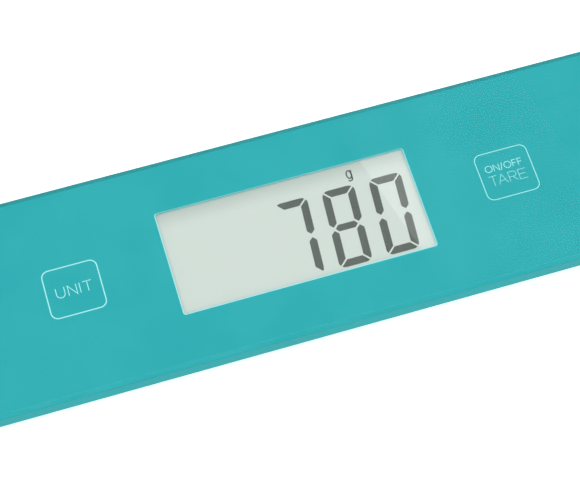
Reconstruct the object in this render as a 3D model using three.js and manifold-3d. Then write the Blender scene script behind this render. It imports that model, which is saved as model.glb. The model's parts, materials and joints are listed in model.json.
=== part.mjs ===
// A slim glass-topped kitchen scale: a bar-shaped platform on four round feet, with a large segment
// display in the middle and one touch key on each side of it.
// Millimetres, +X along the bar, +Y to the rear, +Z up. The origin is on the surface that the feet
// stand on, under the centre of the platform.
import * as THREE from "three";
import { mergeVertices } from "three/addons/utils/BufferGeometryUtils.js";
import Module from "manifold-3d";

const wasm = await Module();
wasm.setup();

// Platform and shell
const LENGTH = 230;
const DEPTH = 62;
const HEIGHT = 14;
const CORNER_R = 6;
const CORNER_STEPS = 8;
const GLASS_T = 4;
const GLASS_ARRIS = 0.5;
const FILM = { bottom: 9.75, thickness: 0.15, inset: 0.2 };
const TAPE = { bottom: 9.57, thickness: 0.16, inset: 0.8, width: 2 };
const RIM_TOP = 9.55;
const RIM_BOTTOM = 4.5;
const FLOOR_BOTTOM = 2.5;
const FLOOR_TOP = 4;
const WALL = 3;
const RIB = { x: 85, halfDepth: 13, thickness: 1.2, top: 9.5 };

// Display, at the middle of the bar
const DISPLAY_Y = 0;
const WINDOW = { width: 75, depth: 32.5, r: 0.8 };
const LCD = {
  frontWidth: 78,
  frontDepth: 36.4,
  rearDepth: 34.8,
  sheet: 1.1,
  frontBottom: 8.35,
  rearBottom: 7.2,
};
const LCD_FILMS = { r: 0.5, polarizerT: 0.18, polarizerGap: 0.03, reflectorT: 0.15, reflectorGap: 0.05 };
const LCD_FRAME = {
  width: 80.4,
  depth: 38.4,
  r: 1.2,
  wall: 1,
  bottom: 6.05,
  top: 9.6,
  ledge: 2,
  ledgeTop: 6.95,
};
const ZEBRA = { inset: 3, thickness: 1.2, margin: 0.1 };

// Boards and keys
const BOARD = { width: 100, depth: 44, bottom: 5, thickness: 1, r: 1 };
const BOARD_TOP = BOARD.bottom + BOARD.thickness;
const BOARD_SCREW = { x: 46, y: 18, headR: 1.8, headT: 1.2, bevel: 0.6, shankR: 0.75, tip: 0.6, holeR: 1.1 };
const BOARD_BOSS = { r: 2.5, pilotR: 0.8, pilotDepth: 0.9 };
const KEY_X = 64.5;
const KEY_Y = DISPLAY_Y + 0.26;
const TOUCH_BOARD = { size: 20, bottom: 8.7, thickness: 1, r: 1 };
const TOUCH_CHIP = { size: 3, height: 0.9, r: 0.2, x: 6, y: 6.7 };
const CHIP_LEG = { reach: 0.7, thickness: 0.35, standoff: 0.15 };
const STRIP_X = 44.5; // middle of the board's free strip beside the display

// Feet and load cells
const FOOT_X = 97;
const FOOT_Y = 16.5;
const FOOT_OPENING_R = 9.5;
const CUP_R = 9;
const PAD_R = 7;
const STUD_R = 1.5;
const CELL_PLATE = { width: 22, depth: 18, thickness: 1.5, bottom: 5.2, r: 1.5 };
const CELL_SLOT = { end: 7.2, root: 7, halfWidth: 5.2, gap: 1.2 };
const CELL_HOLE_R = 1.8;
const CUP = {
  recessTop: 1.45,
  bottom: 0.8,
  top: 3.2,
  collarR: 4,
  collarTop: 4.6,
  studTop: 7.4,
  arris: 0.2,
  bevel: 0.5,
};
const PAD = { top: 1.42, edge: 0.4, gap: 0.1 };
const RETAINER = { r: 3, gap: 0.03, bottom: 6.8, top: 7.2 };
const STAKE = { x: 9.2, y: 7.2, postR: 1.6, pinR: 0.7, headR: 1.2, headT: 0.6, holeR: 0.9 };
const GAUGE = { width: 3, depth: 7, height: 0.9, x: 9.1 };

// Coin cell and its compartment, whose door turns about an axis along Y
const BATTERY = { x: 72, y: 0, r: 10, height: 3.2, bottom: 4.2 };
const DOOR = {
  hingeX: 60.6,
  hingeZ: 3.6,
  length: 22,
  halfDepth: 10.9,
  barrelR: 1.1,
  pinR: 0.7,
  pinLength: 1.4,
};
const COMPARTMENT = { gap: 0.3, wall: 1.5, top: 7.4, pinHoleR: 0.75 };
const FINGER_NOTCH = { r: 4, depth: 0.9 };
const GRIP = { count: 4, pitch: 1.6, inset: 3, halfLength: 5, halfWidth: 0.4, height: 0.3 };
const CONTACT = { thickness: 0.3, halfWidth: 2, halfLength: 4, gap: 0.1, legX: 56 };

const CABLE_R = 0.6;
const LEAD_R = 0.5;
const ROUND_STEPS = 24;
const SMALL_STEPS = 12;
const CABLE_SIDES = 8;
const TURN = 2 * Math.PI;
const FIT = 0.05; // what separates two pieces that touch
const PAST = 1; // how far a cutting solid reaches past the piece it cuts

const FINISH = {
  glass: { color: 0xe8f6f4, roughness: 0.03, metalness: 0 },
  film: { color: 0x2fb0b8, roughness: 0.25, metalness: 0 },
  shell: { color: 0x2fb0b8, roughness: 0.35, metalness: 0 },
  tape: { color: 0x2b2f31, roughness: 0.9, metalness: 0 },
  polarizer: { color: 0xd5e2db, roughness: 0.2, metalness: 0 },
  lcdGlass: { color: 0xdde9e3, roughness: 0.05, metalness: 0 },
  reflector: { color: 0xd5e2db, roughness: 0.5, metalness: 0.1 },
  whitePlastic: { color: 0xe9ebe8, roughness: 0.5, metalness: 0 },
  zebra: { color: 0x8f8a86, roughness: 0.8, metalness: 0 },
  board: { color: 0x1d6b3a, roughness: 0.5, metalness: 0 },
  epoxy: { color: 0x141414, roughness: 0.35, metalness: 0 },
  steel: { color: 0xb9bcbe, roughness: 0.35, metalness: 1 },
  potting: { color: 0xf0efe9, roughness: 0.6, metalness: 0 },
  cup: { color: 0xd9dcda, roughness: 0.5, metalness: 0 },
  rubber: { color: 0x8c9290, roughness: 0.85, metalness: 0 },
  cable: { color: 0xe6e6e2, roughness: 0.6, metalness: 0 },
  red: { color: 0xb3231c, roughness: 0.55, metalness: 0 },
  black: { color: 0x161616, roughness: 0.55, metalness: 0 },
};

// ---------------------------------------------------------------- geometry helpers

// Points of a rounded rectangle, counter-clockwise, with the same count whatever its size.
function roundedOutline(width, depth, r, steps = CORNER_STEPS) {
  const points = [];
  const centres = [[1, -1], [1, 1], [-1, 1], [-1, -1]];
  centres.forEach(([sx, sy], corner) => {
    for (let i = 0; i <= steps; i++) {
      const angle = (corner - 1 + i / steps) * (TURN / 4);
      const x = sx * (width / 2 - r) + r * Math.cos(angle);
      const y = sy * (depth / 2 - r) + r * Math.sin(angle);
      points.push(new THREE.Vector2(x, y));
    }
  });
  return points;
}

// A closed body through convex outlines of equal count, from the lowest section to the highest.
function loft(sections) {
  const count = sections[0].outline.length;
  const positions = sections.flatMap(({ outline, z }) => outline.flatMap((p) => [p.x, p.y, z]));
  const index = [];
  for (let s = 0; s + 1 < sections.length; s++) {
    for (let i = 0; i < count; i++) {
      const a = s * count + i;
      const b = s * count + ((i + 1) % count);
      index.push(a, b, b + count, a, b + count, a + count);
    }
  }
  const top = (sections.length - 1) * count;
  for (let i = 1; i + 1 < count; i++) {
    index.push(0, i + 1, i);
    index.push(top, top + i, top + i + 1);
  }
  const geometry = new THREE.BufferGeometry();
  geometry.setAttribute("position", new THREE.Float32BufferAttribute(positions, 3));
  geometry.setIndex(index);
  return geometry;
}

function plate(width, depth, r, bottom, thickness, steps) {
  const outline = roundedOutline(width, depth, r, steps);
  return loft([{ outline, z: bottom }, { outline, z: bottom + thickness }]);
}

function box(x0, x1, y0, y1, z0, z1) {
  const geometry = new THREE.BoxGeometry(x1 - x0, y1 - y0, z1 - z0);
  return geometry.translate((x0 + x1) / 2, (y0 + y1) / 2, (z0 + z1) / 2);
}

// A body turned about Z, from a profile of [radius, height] pairs that goes up its outside.
function turned(profile, steps = ROUND_STEPS) {
  const points = profile.map(([r, z]) => new THREE.Vector2(r, z));
  return new THREE.LatheGeometry(points, steps).rotateX(TURN / 4);
}

function disc(r, z0, z1, steps = ROUND_STEPS) {
  return turned([[0, z0], [r, z0], [r, z1], [0, z1]], steps);
}

// A flat ring, whose section closes on itself.
function ring(innerR, outerR, z0, z1, steps = ROUND_STEPS) {
  return turned([[innerR, z0], [outerR, z0], [outerR, z1], [innerR, z1], [innerR, z0]], steps);
}

// A round pin or bore along Y, between y0 and y1.
function barAlongY(r, x, z, y0, y1, steps = SMALL_STEPS) {
  const bar = new THREE.CylinderGeometry(r, r, y1 - y0, steps);
  return bar.translate(x, (y0 + y1) / 2, z);
}

function solid(geometry) {
  const bare = geometry.clone();
  bare.deleteAttribute("normal");
  bare.deleteAttribute("uv");
  const merged = mergeVertices(bare, 1e-4);
  const vertProperties = merged.attributes.position.array;
  const triVerts = new Uint32Array(merged.index.array);
  return new wasm.Manifold(new wasm.Mesh({ numProp: 3, vertProperties, triVerts }));
}

function geometryOf(body) {
  const mesh = body.getMesh();
  const geometry = new THREE.BufferGeometry();
  geometry.setAttribute("position", new THREE.BufferAttribute(mesh.vertProperties, 3));
  geometry.setIndex(new THREE.BufferAttribute(mesh.triVerts, 1));
  return geometry;
}

const joined = (parts) => parts.map(solid).reduce((whole, part) => whole.add(part));

// The first list of geometries joined, less every geometry of the second list.
function carved(parts, cuts) {
  return geometryOf(cuts.map(solid).reduce((whole, cut) => whole.subtract(cut), joined(parts)));
}

// A round cable of the given radius through hand-chosen points.
function cable(points, radius, steps) {
  const section = new THREE.Shape();
  section.absarc(0, 0, radius, 0, TURN);
  const extrudePath = new THREE.CatmullRomCurve3(points.map((p) => new THREE.Vector3(...p)));
  return new THREE.ExtrudeGeometry(section, { steps, extrudePath, curveSegments: CABLE_SIDES / 2 });
}

// ---------------------------------------------------------------- scene helpers

const scale = new THREE.Group();

function add(name, geometry, finish, x = 0, y = 0) {
  const shaded = geometry.index ? geometry.toNonIndexed() : geometry;
  shaded.computeVertexNormals();
  const mesh = new THREE.Mesh(shaded, new THREE.MeshStandardMaterial(FINISH[finish]));
  mesh.name = name;
  mesh.position.set(x, y, 0);
  scale.add(mesh);
  return mesh;
}

const corners = [
  { name: "front_left", sx: -1, sy: -1 },
  { name: "front_right", sx: 1, sy: -1 },
  { name: "rear_left", sx: -1, sy: 1 },
  { name: "rear_right", sx: 1, sy: 1 },
];

// ---------------------------------------------------------------- platform

function addGlass() {
  const full = roundedOutline(LENGTH, DEPTH, CORNER_R);
  const small = roundedOutline(LENGTH - 2 * GLASS_ARRIS, DEPTH - 2 * GLASS_ARRIS, CORNER_R - GLASS_ARRIS);
  const bottom = HEIGHT - GLASS_T;
  const glass = loft([
    { outline: small, z: bottom },
    { outline: full, z: bottom + GLASS_ARRIS },
    { outline: full, z: HEIGHT - GLASS_ARRIS },
    { outline: small, z: HEIGHT },
  ]);
  add("glass_platform", glass, "glass");
}

function addPrintedBacking() {
  const inset = 2 * FILM.inset;
  const sheet = plate(LENGTH - inset, DEPTH - inset, CORNER_R - FILM.inset, FILM.bottom, FILM.thickness);
  const window = plate(WINDOW.width, WINDOW.depth, WINDOW.r, FILM.bottom - PAST, FILM.thickness + 2 * PAST);
  add("printed_backing", carved([sheet], [window.translate(0, DISPLAY_Y, 0)]), "film");
}

function addBondingTape() {
  const width = LENGTH - 2 * TAPE.inset;
  const depth = DEPTH - 2 * TAPE.inset;
  const r = CORNER_R - TAPE.inset;
  const outer = plate(width, depth, r, TAPE.bottom, TAPE.thickness);
  const cutDepth = TAPE.thickness + 2 * PAST;
  const innerWidth = width - 2 * TAPE.width;
  const innerDepth = depth - 2 * TAPE.width;
  const inner = plate(innerWidth, innerDepth, r - TAPE.width, TAPE.bottom - PAST, cutDepth);
  add("bonding_tape", carved([outer], [inner]), "tape");
}

// ---------------------------------------------------------------- shell

function shellTub() {
  const chamfer = RIM_BOTTOM - FLOOR_BOTTOM;
  const full = roundedOutline(LENGTH, DEPTH, CORNER_R);
  const foot = roundedOutline(LENGTH - 2 * chamfer, DEPTH - 2 * chamfer, CORNER_R - chamfer);
  return loft([
    { outline: foot, z: FLOOR_BOTTOM },
    { outline: full, z: RIM_BOTTOM },
    { outline: full, z: RIM_TOP },
  ]);
}

// Ribs that carry the glass near each end, clear of the load cells and their cables.
function shellRibs(side) {
  const half = RIB.thickness / 2;
  const crossX = side * RIB.x;
  const cross = box(crossX - half, crossX + half, -RIB.halfDepth, RIB.halfDepth, FLOOR_TOP, RIB.top);
  const endX = side * (LENGTH / 2 - WALL);
  const inner = Math.min(crossX, endX);
  const outer = Math.max(crossX, endX);
  const long = box(inner, outer, -half, half, FLOOR_TOP, RIB.top);
  return [cross, long];
}

function eachBoardScrew(make) {
  return corners.map(({ sx, sy }) => make(sx * BOARD_SCREW.x, DISPLAY_Y + sy * BOARD_SCREW.y));
}

// A post that the load cell sits on, with a pin through the plate and its melted head.
function stakePost(x, y) {
  const plateTop = CELL_PLATE.bottom + CELL_PLATE.thickness;
  const profile = [
    [0, FLOOR_TOP],
    [STAKE.postR, FLOOR_TOP],
    [STAKE.postR, CELL_PLATE.bottom - FIT],
    [STAKE.pinR, CELL_PLATE.bottom - FIT],
    [STAKE.pinR, plateTop + FIT],
    [STAKE.headR, plateTop + FIT],
    [0, plateTop + STAKE.headT],
  ];
  return turned(profile, SMALL_STEPS).translate(x, y, 0);
}

function stakePosts() {
  const diagonal = [-1, 1];
  return corners.flatMap(({ sx, sy }) =>
    diagonal.map((d) => stakePost(sx * FOOT_X + d * STAKE.x, sy * FOOT_Y + d * STAKE.y)),
  );
}

function compartmentWalls() {
  const { gap, wall, top } = COMPARTMENT;
  const x0 = DOOR.hingeX - DOOR.barrelR - gap;
  const x1 = DOOR.hingeX + DOOR.length + gap;
  const y = DOOR.halfDepth + gap;
  const outer = box(x0 - wall, x1 + wall, -y - wall, y + wall, FLOOR_TOP, top);
  const inner = box(x0, x1, -y, y, FLOOR_TOP - PAST, top + PAST);
  return carved([outer], [inner]);
}

function compartmentCuts() {
  const { gap, wall, pinHoleR } = COMPARTMENT;
  const x0 = DOOR.hingeX - DOOR.barrelR - gap;
  const x1 = DOOR.hingeX + DOOR.length + gap;
  const y = DOOR.halfDepth + gap;
  const reach = y + wall + PAST / 2;
  const notchX = DOOR.hingeX + DOOR.length + 2 * gap + 0.2;
  const fingerNotch = disc(FINGER_NOTCH.r, FLOOR_BOTTOM - PAST, FLOOR_BOTTOM + FINGER_NOTCH.depth);
  return [
    box(x0, x1, -y, y, FLOOR_BOTTOM - PAST, FLOOR_TOP + PAST),
    barAlongY(pinHoleR, DOOR.hingeX, DOOR.hingeZ, -reach, reach),
    fingerNotch.translate(notchX, 0, 0),
  ];
}

function addShell() {
  const cavity = plate(LENGTH - 2 * WALL, DEPTH - 2 * WALL, CORNER_R - WALL, FLOOR_TOP, RIM_TOP);
  const tub = carved([shellTub()], [cavity]);
  const boss = (x, y) => disc(BOARD_BOSS.r, FLOOR_TOP, BOARD.bottom, SMALL_STEPS).translate(x, y, 0);
  const pilotFoot = FLOOR_TOP - BOARD_BOSS.pilotDepth;
  const pilotTop = BOARD.bottom + PAST;
  const pilot = (x, y) => disc(BOARD_BOSS.pilotR, pilotFoot, pilotTop, SMALL_STEPS).translate(x, y, 0);
  const footOpenings = corners.map(({ sx, sy }) =>
    disc(FOOT_OPENING_R, FLOOR_BOTTOM - PAST, FLOOR_TOP + PAST / 2).translate(sx * FOOT_X, sy * FOOT_Y, 0),
  );
  const parts = [
    tub,
    ...shellRibs(-1),
    ...shellRibs(1),
    ...eachBoardScrew(boss),
    ...stakePosts(),
    compartmentWalls(),
  ];
  const cuts = [...footOpenings, ...eachBoardScrew(pilot), ...compartmentCuts()];
  add("bottom_shell", carved(parts, cuts), "shell");
}

// ---------------------------------------------------------------- display

function addLcd() {
  const { frontWidth, frontDepth, rearDepth, sheet, frontBottom, rearBottom } = LCD;
  const rearY = DISPLAY_Y - (frontDepth - rearDepth) / 2;
  const { r, polarizerT, polarizerGap, reflectorT, reflectorGap } = LCD_FILMS;
  const polarizerZ = frontBottom + sheet + polarizerGap;
  const reflectorZ = rearBottom - reflectorGap - reflectorT;
  const front = plate(frontWidth, frontDepth, r, frontBottom, sheet, 2);
  const rear = plate(frontWidth, rearDepth, r, rearBottom, sheet, 2);
  const polarizer = plate(frontWidth - 1, frontDepth - 2, r, polarizerZ, polarizerT, 2);
  const reflector = plate(frontWidth - 1, rearDepth - 1, r, reflectorZ, reflectorT, 2);
  add("lcd_glass_front", front, "lcdGlass", 0, DISPLAY_Y);
  add("lcd_glass_rear", rear, "lcdGlass", 0, rearY);
  add("lcd_polarizer", polarizer, "polarizer", 0, DISPLAY_Y);
  add("lcd_reflector", reflector, "reflector", 0, rearY);
}

// A ring round the display's glass, with a ledge under its front and side edges.
function addLcdFrame() {
  const { width, depth, r, wall, bottom, top, ledge, ledgeTop } = LCD_FRAME;
  const innerWidth = width - 2 * wall;
  const innerDepth = depth - 2 * wall;
  const outer = plate(width, depth, r, bottom, top - bottom, 3);
  const pocket = box(-innerWidth / 2, innerWidth / 2, -innerDepth / 2, innerDepth / 2, ledgeTop, top + PAST);
  const x = innerWidth / 2 - ledge;
  const opening = box(-x, x, ledge - innerDepth / 2, innerDepth / 2, bottom - PAST, top + PAST);
  add("lcd_frame", carved([outer], [pocket, opening]), "whitePlastic", 0, DISPLAY_Y);
}

// The rubber connector strip, under the rear edge of the front glass and on the board.
function addZebraStrip() {
  const rear = LCD.frontDepth / 2 - ZEBRA.margin;
  const half = LCD.frontWidth / 2 - ZEBRA.inset;
  const strip = box(-half, half, rear - ZEBRA.thickness, rear, BOARD_TOP, LCD.frontBottom);
  add("zebra_strip", strip, "zebra", 0, DISPLAY_Y);
}

// ---------------------------------------------------------------- boards

function addMainBoard() {
  const blank = plate(BOARD.width, BOARD.depth, BOARD.r, BOARD.bottom, BOARD.thickness, 2);
  const hole = (x, y) =>
    disc(BOARD_SCREW.holeR, BOARD.bottom - PAST, BOARD_TOP + PAST, SMALL_STEPS).translate(x, y, 0);
  add("main_board", carved([blank.translate(0, DISPLAY_Y, 0)], eachBoardScrew(hole)), "board");
}

// A moulded chip body with legs on two sides, standing on z.
function chip(width, depth, height, legs, z) {
  const pitch = depth / legs;
  const reach = width / 2 + CHIP_LEG.reach;
  const body = box(-width / 2, width / 2, -depth / 2, depth / 2, z + CHIP_LEG.standoff, z + height);
  const leg = (i) => {
    const y = (i - (legs - 1) / 2) * pitch;
    return box(-reach, reach, y - pitch / 5, y + pitch / 5, z, z + CHIP_LEG.thickness);
  };
  return geometryOf(joined([body, ...Array.from({ length: legs }, (_, i) => leg(i))]));
}

function addBoardParts() {
  const dome = [
    [0, BOARD_TOP],
    [3.5, BOARD_TOP],
    [3.1, BOARD_TOP + 0.8],
    [1.8, BOARD_TOP + 1.3],
    [0, BOARD_TOP + 1.5],
  ];
  add("controller_chip", turned(dome), "epoxy", -STRIP_X, DISPLAY_Y - 1);
  add("adc_chip", chip(3.6, 4.6, 1.5, 4, BOARD_TOP), "epoxy", STRIP_X, DISPLAY_Y + 2);
  add("crystal_can", plate(4.4, 1.8, 0.85, BOARD_TOP, 1.8, 4), "steel", -STRIP_X, DISPLAY_Y - 8);
}

// A self-tapping screw with a cross recess, head on the board and shank in the boss.
function boardScrew() {
  const { headR, headT, bevel, shankR, tip } = BOARD_SCREW;
  const headBottom = BOARD_TOP + FIT;
  const headTop = headBottom + headT;
  const recessFloor = headTop - headT / 2;
  const profile = [
    [0, FLOOR_TOP - tip],
    [shankR, FLOOR_TOP],
    [shankR, headBottom],
    [headR, headBottom],
    [headR, headTop - bevel * 0.7],
    [headR - bevel, headTop],
    [0, headTop],
  ];
  const recess = (w, d) => box(-w / 2, w / 2, -d / 2, d / 2, recessFloor, headTop + PAST);
  return carved([turned(profile, SMALL_STEPS)], [recess(2, 0.45), recess(0.45, 2)]);
}

function addBoardScrews() {
  for (const { name, sx, sy } of corners) {
    add("board_screw_" + name, boardScrew(), "steel", sx * BOARD_SCREW.x, DISPLAY_Y + sy * BOARD_SCREW.y);
  }
}

// The sensor board under each key, with its chip below it.
function addTouchBoards() {
  const { size, bottom, thickness, r } = TOUCH_BOARD;
  const keys = [["unit", -1], ["power", 1]];
  for (const [key, side] of keys) {
    const chipX = side * (KEY_X - TOUCH_CHIP.x);
    const chipBottom = bottom - TOUCH_CHIP.height;
    const chipBody = plate(TOUCH_CHIP.size, TOUCH_CHIP.size, TOUCH_CHIP.r, chipBottom, TOUCH_CHIP.height, 1);
    add("touch_board_" + key, plate(size, size, r, bottom, thickness, 2), "board", side * KEY_X, KEY_Y);
    add("touch_chip_" + key, chipBody, "epoxy", chipX, KEY_Y + TOUCH_CHIP.y);
  }
}

function addTouchLeads() {
  const y = DISPLAY_Y + 7;
  const edge = KEY_X - TOUCH_BOARD.size / 2;
  const keys = [["unit", -1], ["power", 1]];
  for (const [key, side] of keys) {
    const route = [
      [side * (edge - 0.3), y, 9.1],
      [side * (edge - 2.2), y, 8.6],
      [side * (edge - 3.8), y, 7.4],
      [side * (edge - 5.4), y, 6.7],
      [side * (edge - 7.8), y, 6.6],
    ];
    add("touch_lead_" + key, cable(route, LEAD_R, 10), "cable");
  }
}

// ---------------------------------------------------------------- battery

function addBattery() {
  const { x, y, r, height, bottom } = BATTERY;
  const canTop = bottom + height;
  const profile = [
    [0, bottom],
    [r - 1.2, bottom],
    [r - 1, bottom + 0.2],
    [r, bottom + 0.4],
    [r, canTop - 0.3],
    [r - 0.3, canTop],
    [0, canTop],
  ];
  add("battery_cell", turned(profile, 32), "steel", x, y);
}

// A leaf over the cell's top face, whose leg stands on the floor beside the compartment.
function addNegativeContact() {
  const { thickness, halfWidth, gap, legX } = CONTACT;
  const z = BATTERY.bottom + BATTERY.height + gap;
  const leaf = box(legX, BATTERY.x + halfWidth, -halfWidth, halfWidth, z, z + thickness);
  const leg = box(legX, legX + thickness, -halfWidth, halfWidth, FLOOR_TOP + FIT, z + thickness);
  add("battery_contact_negative", geometryOf(joined([leaf, leg])), "steel");
}

// A leaf beside the can, whose tab lies on top of the compartment's front wall.
function addPositiveContact() {
  const { thickness, halfWidth, halfLength, gap } = CONTACT;
  const { x, r, bottom } = BATTERY;
  const y = -r - gap - FIT;
  const tabZ = COMPARTMENT.top + FIT;
  const tabY = -(DOOR.halfDepth + COMPARTMENT.gap + COMPARTMENT.wall);
  const leafBottom = bottom + 2 * thickness;
  const leaf = box(x - halfLength, x + halfLength, y - thickness, y, leafBottom, tabZ + thickness);
  const tab = box(x - halfWidth, x + halfWidth, tabY, y, tabZ, tabZ + thickness);
  add("battery_contact_positive", geometryOf(joined([leaf, tab])), "steel");
}

function addBatteryLeads() {
  const red = [
    [69.6, -12.4, 8.1],
    [66, -13.5, 7.6],
    [61.5, -13.9, 5.9],
    [58, -13.8, 5],
    [55, -11.6, 4.8],
    [52.8, -9, 5.2],
    [50.6, -8, 6.7],
    [47, -8, 6.6],
  ];
  const black = [
    [55.7, 0, 5.6],
    [54, -1.8, 5.1],
    [52.3, -4, 5.4],
    [50.6, -5, 6.7],
    [47, -5.2, 6.6],
  ];
  add("battery_lead_red", cable(red, LEAD_R, 14), "red");
  add("battery_lead_black", cable(black, LEAD_R, 10), "black");
}

// The door: a flat plate flush with the underside, with a hinge barrel and a pin at each end of it.
function addBatteryDoor() {
  const { hingeX, hingeZ, length, halfDepth, barrelR, pinR, pinLength } = DOOR;
  const panel = box(hingeX, hingeX + length, -halfDepth, halfDepth, FLOOR_BOTTOM, FLOOR_TOP);
  const barrel = barAlongY(barrelR, hingeX, hingeZ, -halfDepth, halfDepth, 16);
  const pins = barAlongY(pinR, hingeX, hingeZ, -halfDepth - pinLength, halfDepth + pinLength);
  const { halfWidth, halfLength, height } = GRIP;
  const ridges = Array.from({ length: GRIP.count }, (_, i) => {
    const ridge = box(-halfWidth, halfWidth, -halfLength, halfLength, -height, height);
    return ridge.translate(hingeX + length - GRIP.inset - GRIP.pitch * i, 0, FLOOR_BOTTOM);
  });
  add("battery_door", geometryOf(joined([panel, barrel, pins, ...ridges])), "shell");
}

// ---------------------------------------------------------------- load cells

// A steel plate with a U-shaped slot that frees its middle tongue, which the foot's stud hangs in.
// The tongue's root is towards +X.
function loadCellPlate() {
  const { width, depth, thickness, bottom, r } = CELL_PLATE;
  const { end, root, halfWidth, gap } = CELL_SLOT;
  const blank = plate(width, depth, r, bottom, thickness, 3);
  const z0 = bottom - PAST;
  const z1 = bottom + thickness + PAST;
  const tongue = halfWidth - gap;
  const cuts = [
    box(-end, -end + gap, -halfWidth, halfWidth, z0, z1),
    box(-end, root, tongue, halfWidth, z0, z1),
    box(-end, root, -halfWidth, -tongue, z0, z1),
    disc(CELL_HOLE_R, z0, z1, SMALL_STEPS),
    disc(STAKE.holeR, z0, z1, SMALL_STEPS).translate(STAKE.x, STAKE.y, 0),
    disc(STAKE.holeR, z0, z1, SMALL_STEPS).translate(-STAKE.x, -STAKE.y, 0),
  ];
  return carved([blank], cuts);
}

// The gauge is bonded across the root of the tongue, under a pad of potting with sloping sides.
function strainGauge() {
  const { width, depth, height } = GAUGE;
  const bottom = CELL_PLATE.bottom + CELL_PLATE.thickness;
  return loft([
    { outline: roundedOutline(width, depth, 0.6, 2), z: bottom + FIT },
    { outline: roundedOutline(width, depth, 0.6, 2), z: bottom + height / 2 },
    { outline: roundedOutline(width - 1, depth - 1, 0.4, 2), z: bottom + height },
  ]);
}

function addLoadCells() {
  for (const { name, sx, sy } of corners) {
    const turn = sx > 0 ? TURN / 2 : 0;
    const x = sx * FOOT_X;
    const y = sy * FOOT_Y;
    add("load_cell_" + name, loadCellPlate().rotateZ(turn), "steel", x, y);
    add("strain_gauge_" + name, strainGauge(), "potting", x - sx * GAUGE.x, y);
  }
}

// From the gauge's inner side down to the floor, along it, and up onto the board's end strip.
function addCellCables() {
  const start = FOOT_X - GAUGE.x - GAUGE.width / 2 - 0.3;
  for (const { name, sx, sy } of corners) {
    const y = sy * FOOT_Y;
    const endY = DISPLAY_Y + sy * 12.5;
    const route = [
      [sx * start, y, 7.45],
      [sx * (start - 1.8), y, 7.1],
      [sx * (start - 4.2), y, 5.6],
      [sx * (start - 6.5), y + sy * 0.3, 4.8],
      [sx * 72, y + sy * 0.6, 4.8],
      [sx * 58, y - sy * 0.6, 4.8],
      [sx * 52.8, (y + endY) / 2, 5.3],
      [sx * 50.4, endY, 6.8],
      [sx * 47.5, endY, 6.7],
    ];
    add("cell_cable_" + name, cable(route, CABLE_R, 18), "cable");
  }
}

// ---------------------------------------------------------------- feet

// A cup with a recess for the rubber pad below, and a stud above that passes through the load cell.
function footCup() {
  const profile = [
    [0, CUP.recessTop],
    [PAD_R + PAD.gap, CUP.recessTop],
    [PAD_R + PAD.gap, CUP.bottom],
    [CUP_R - CUP.arris, CUP.bottom],
    [CUP_R, CUP.bottom + CUP.arris],
    [CUP_R, CUP.top - CUP.bevel],
    [CUP_R - CUP.bevel, CUP.top],
    [CUP.collarR, CUP.top],
    [CUP.collarR, CUP.collarTop],
    [STUD_R, CUP.collarTop],
    [STUD_R, CUP.studTop],
    [0, CUP.studTop],
  ];
  return turned(profile);
}

function footPad() {
  return turned([[0, 0], [PAD_R - PAD.edge, 0], [PAD_R, PAD.edge], [PAD_R, PAD.top], [0, PAD.top]]);
}

function addFeet() {
  const retainer = () => ring(STUD_R + RETAINER.gap, RETAINER.r, RETAINER.bottom, RETAINER.top, 16);
  for (const { name, sx, sy } of corners) {
    const x = sx * FOOT_X;
    const y = sy * FOOT_Y;
    add("foot_cup_" + name, footCup(), "cup", x, y);
    add("foot_pad_" + name, footPad(), "rubber", x, y);
    add("foot_retainer_" + name, retainer(), "steel", x, y);
  }
}

addGlass();
addPrintedBacking();
addBondingTape();
addShell();
addLcd();
addLcdFrame();
addZebraStrip();
addMainBoard();
addBoardParts();
addBoardScrews();
addTouchBoards();
addTouchLeads();
addBattery();
addNegativeContact();
addPositiveContact();
addBatteryLeads();
addBatteryDoor();
addLoadCells();
addCellCables();
addFeet();

export default scale;
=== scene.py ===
import bmesh
import bpy
import json
import math
from mathutils import Matrix, Quaternion, Vector


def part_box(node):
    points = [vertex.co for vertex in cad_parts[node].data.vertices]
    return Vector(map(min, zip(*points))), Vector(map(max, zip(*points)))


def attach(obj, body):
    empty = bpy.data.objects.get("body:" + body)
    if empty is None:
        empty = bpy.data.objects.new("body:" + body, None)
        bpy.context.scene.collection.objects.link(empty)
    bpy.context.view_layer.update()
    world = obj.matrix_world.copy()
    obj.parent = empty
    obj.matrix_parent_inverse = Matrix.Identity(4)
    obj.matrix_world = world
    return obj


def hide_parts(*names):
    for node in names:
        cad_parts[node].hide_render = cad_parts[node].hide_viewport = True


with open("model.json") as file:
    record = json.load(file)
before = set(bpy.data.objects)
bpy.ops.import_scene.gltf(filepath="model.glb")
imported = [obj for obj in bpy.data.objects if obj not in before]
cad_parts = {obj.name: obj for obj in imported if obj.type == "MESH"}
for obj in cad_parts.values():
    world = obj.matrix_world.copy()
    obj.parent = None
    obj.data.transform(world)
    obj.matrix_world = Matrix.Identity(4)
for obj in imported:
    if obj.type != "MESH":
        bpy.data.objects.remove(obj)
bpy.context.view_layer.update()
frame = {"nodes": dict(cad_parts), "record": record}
CAD_NODES = frame["nodes"]
MM = 0.001

# Glass platform and what is printed on its underside
CORNER_R = 6.0
CORNER_STEPS = 20
ARRIS = {"top": 0.5, "bottom": 0.2}
ARRIS_STEPS = 6
WINDOW = {"width": 75.0, "depth": 32.6, "r": 0.8, "x": 0.22, "y": 0.06}
INK = {"lift": 0.005, "thickness": 0.02}
UNDERCOAT = {"margin": 0.24, "rear": 0.12}
KEY = {"width": 15.85, "depth": 14.95, "r": 2.05, "y": 0.2}
# Key outlines: middle, stroke
KEY_OUTLINES = [(-64.72, 0.345), (64.25, 0.25)]
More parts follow.
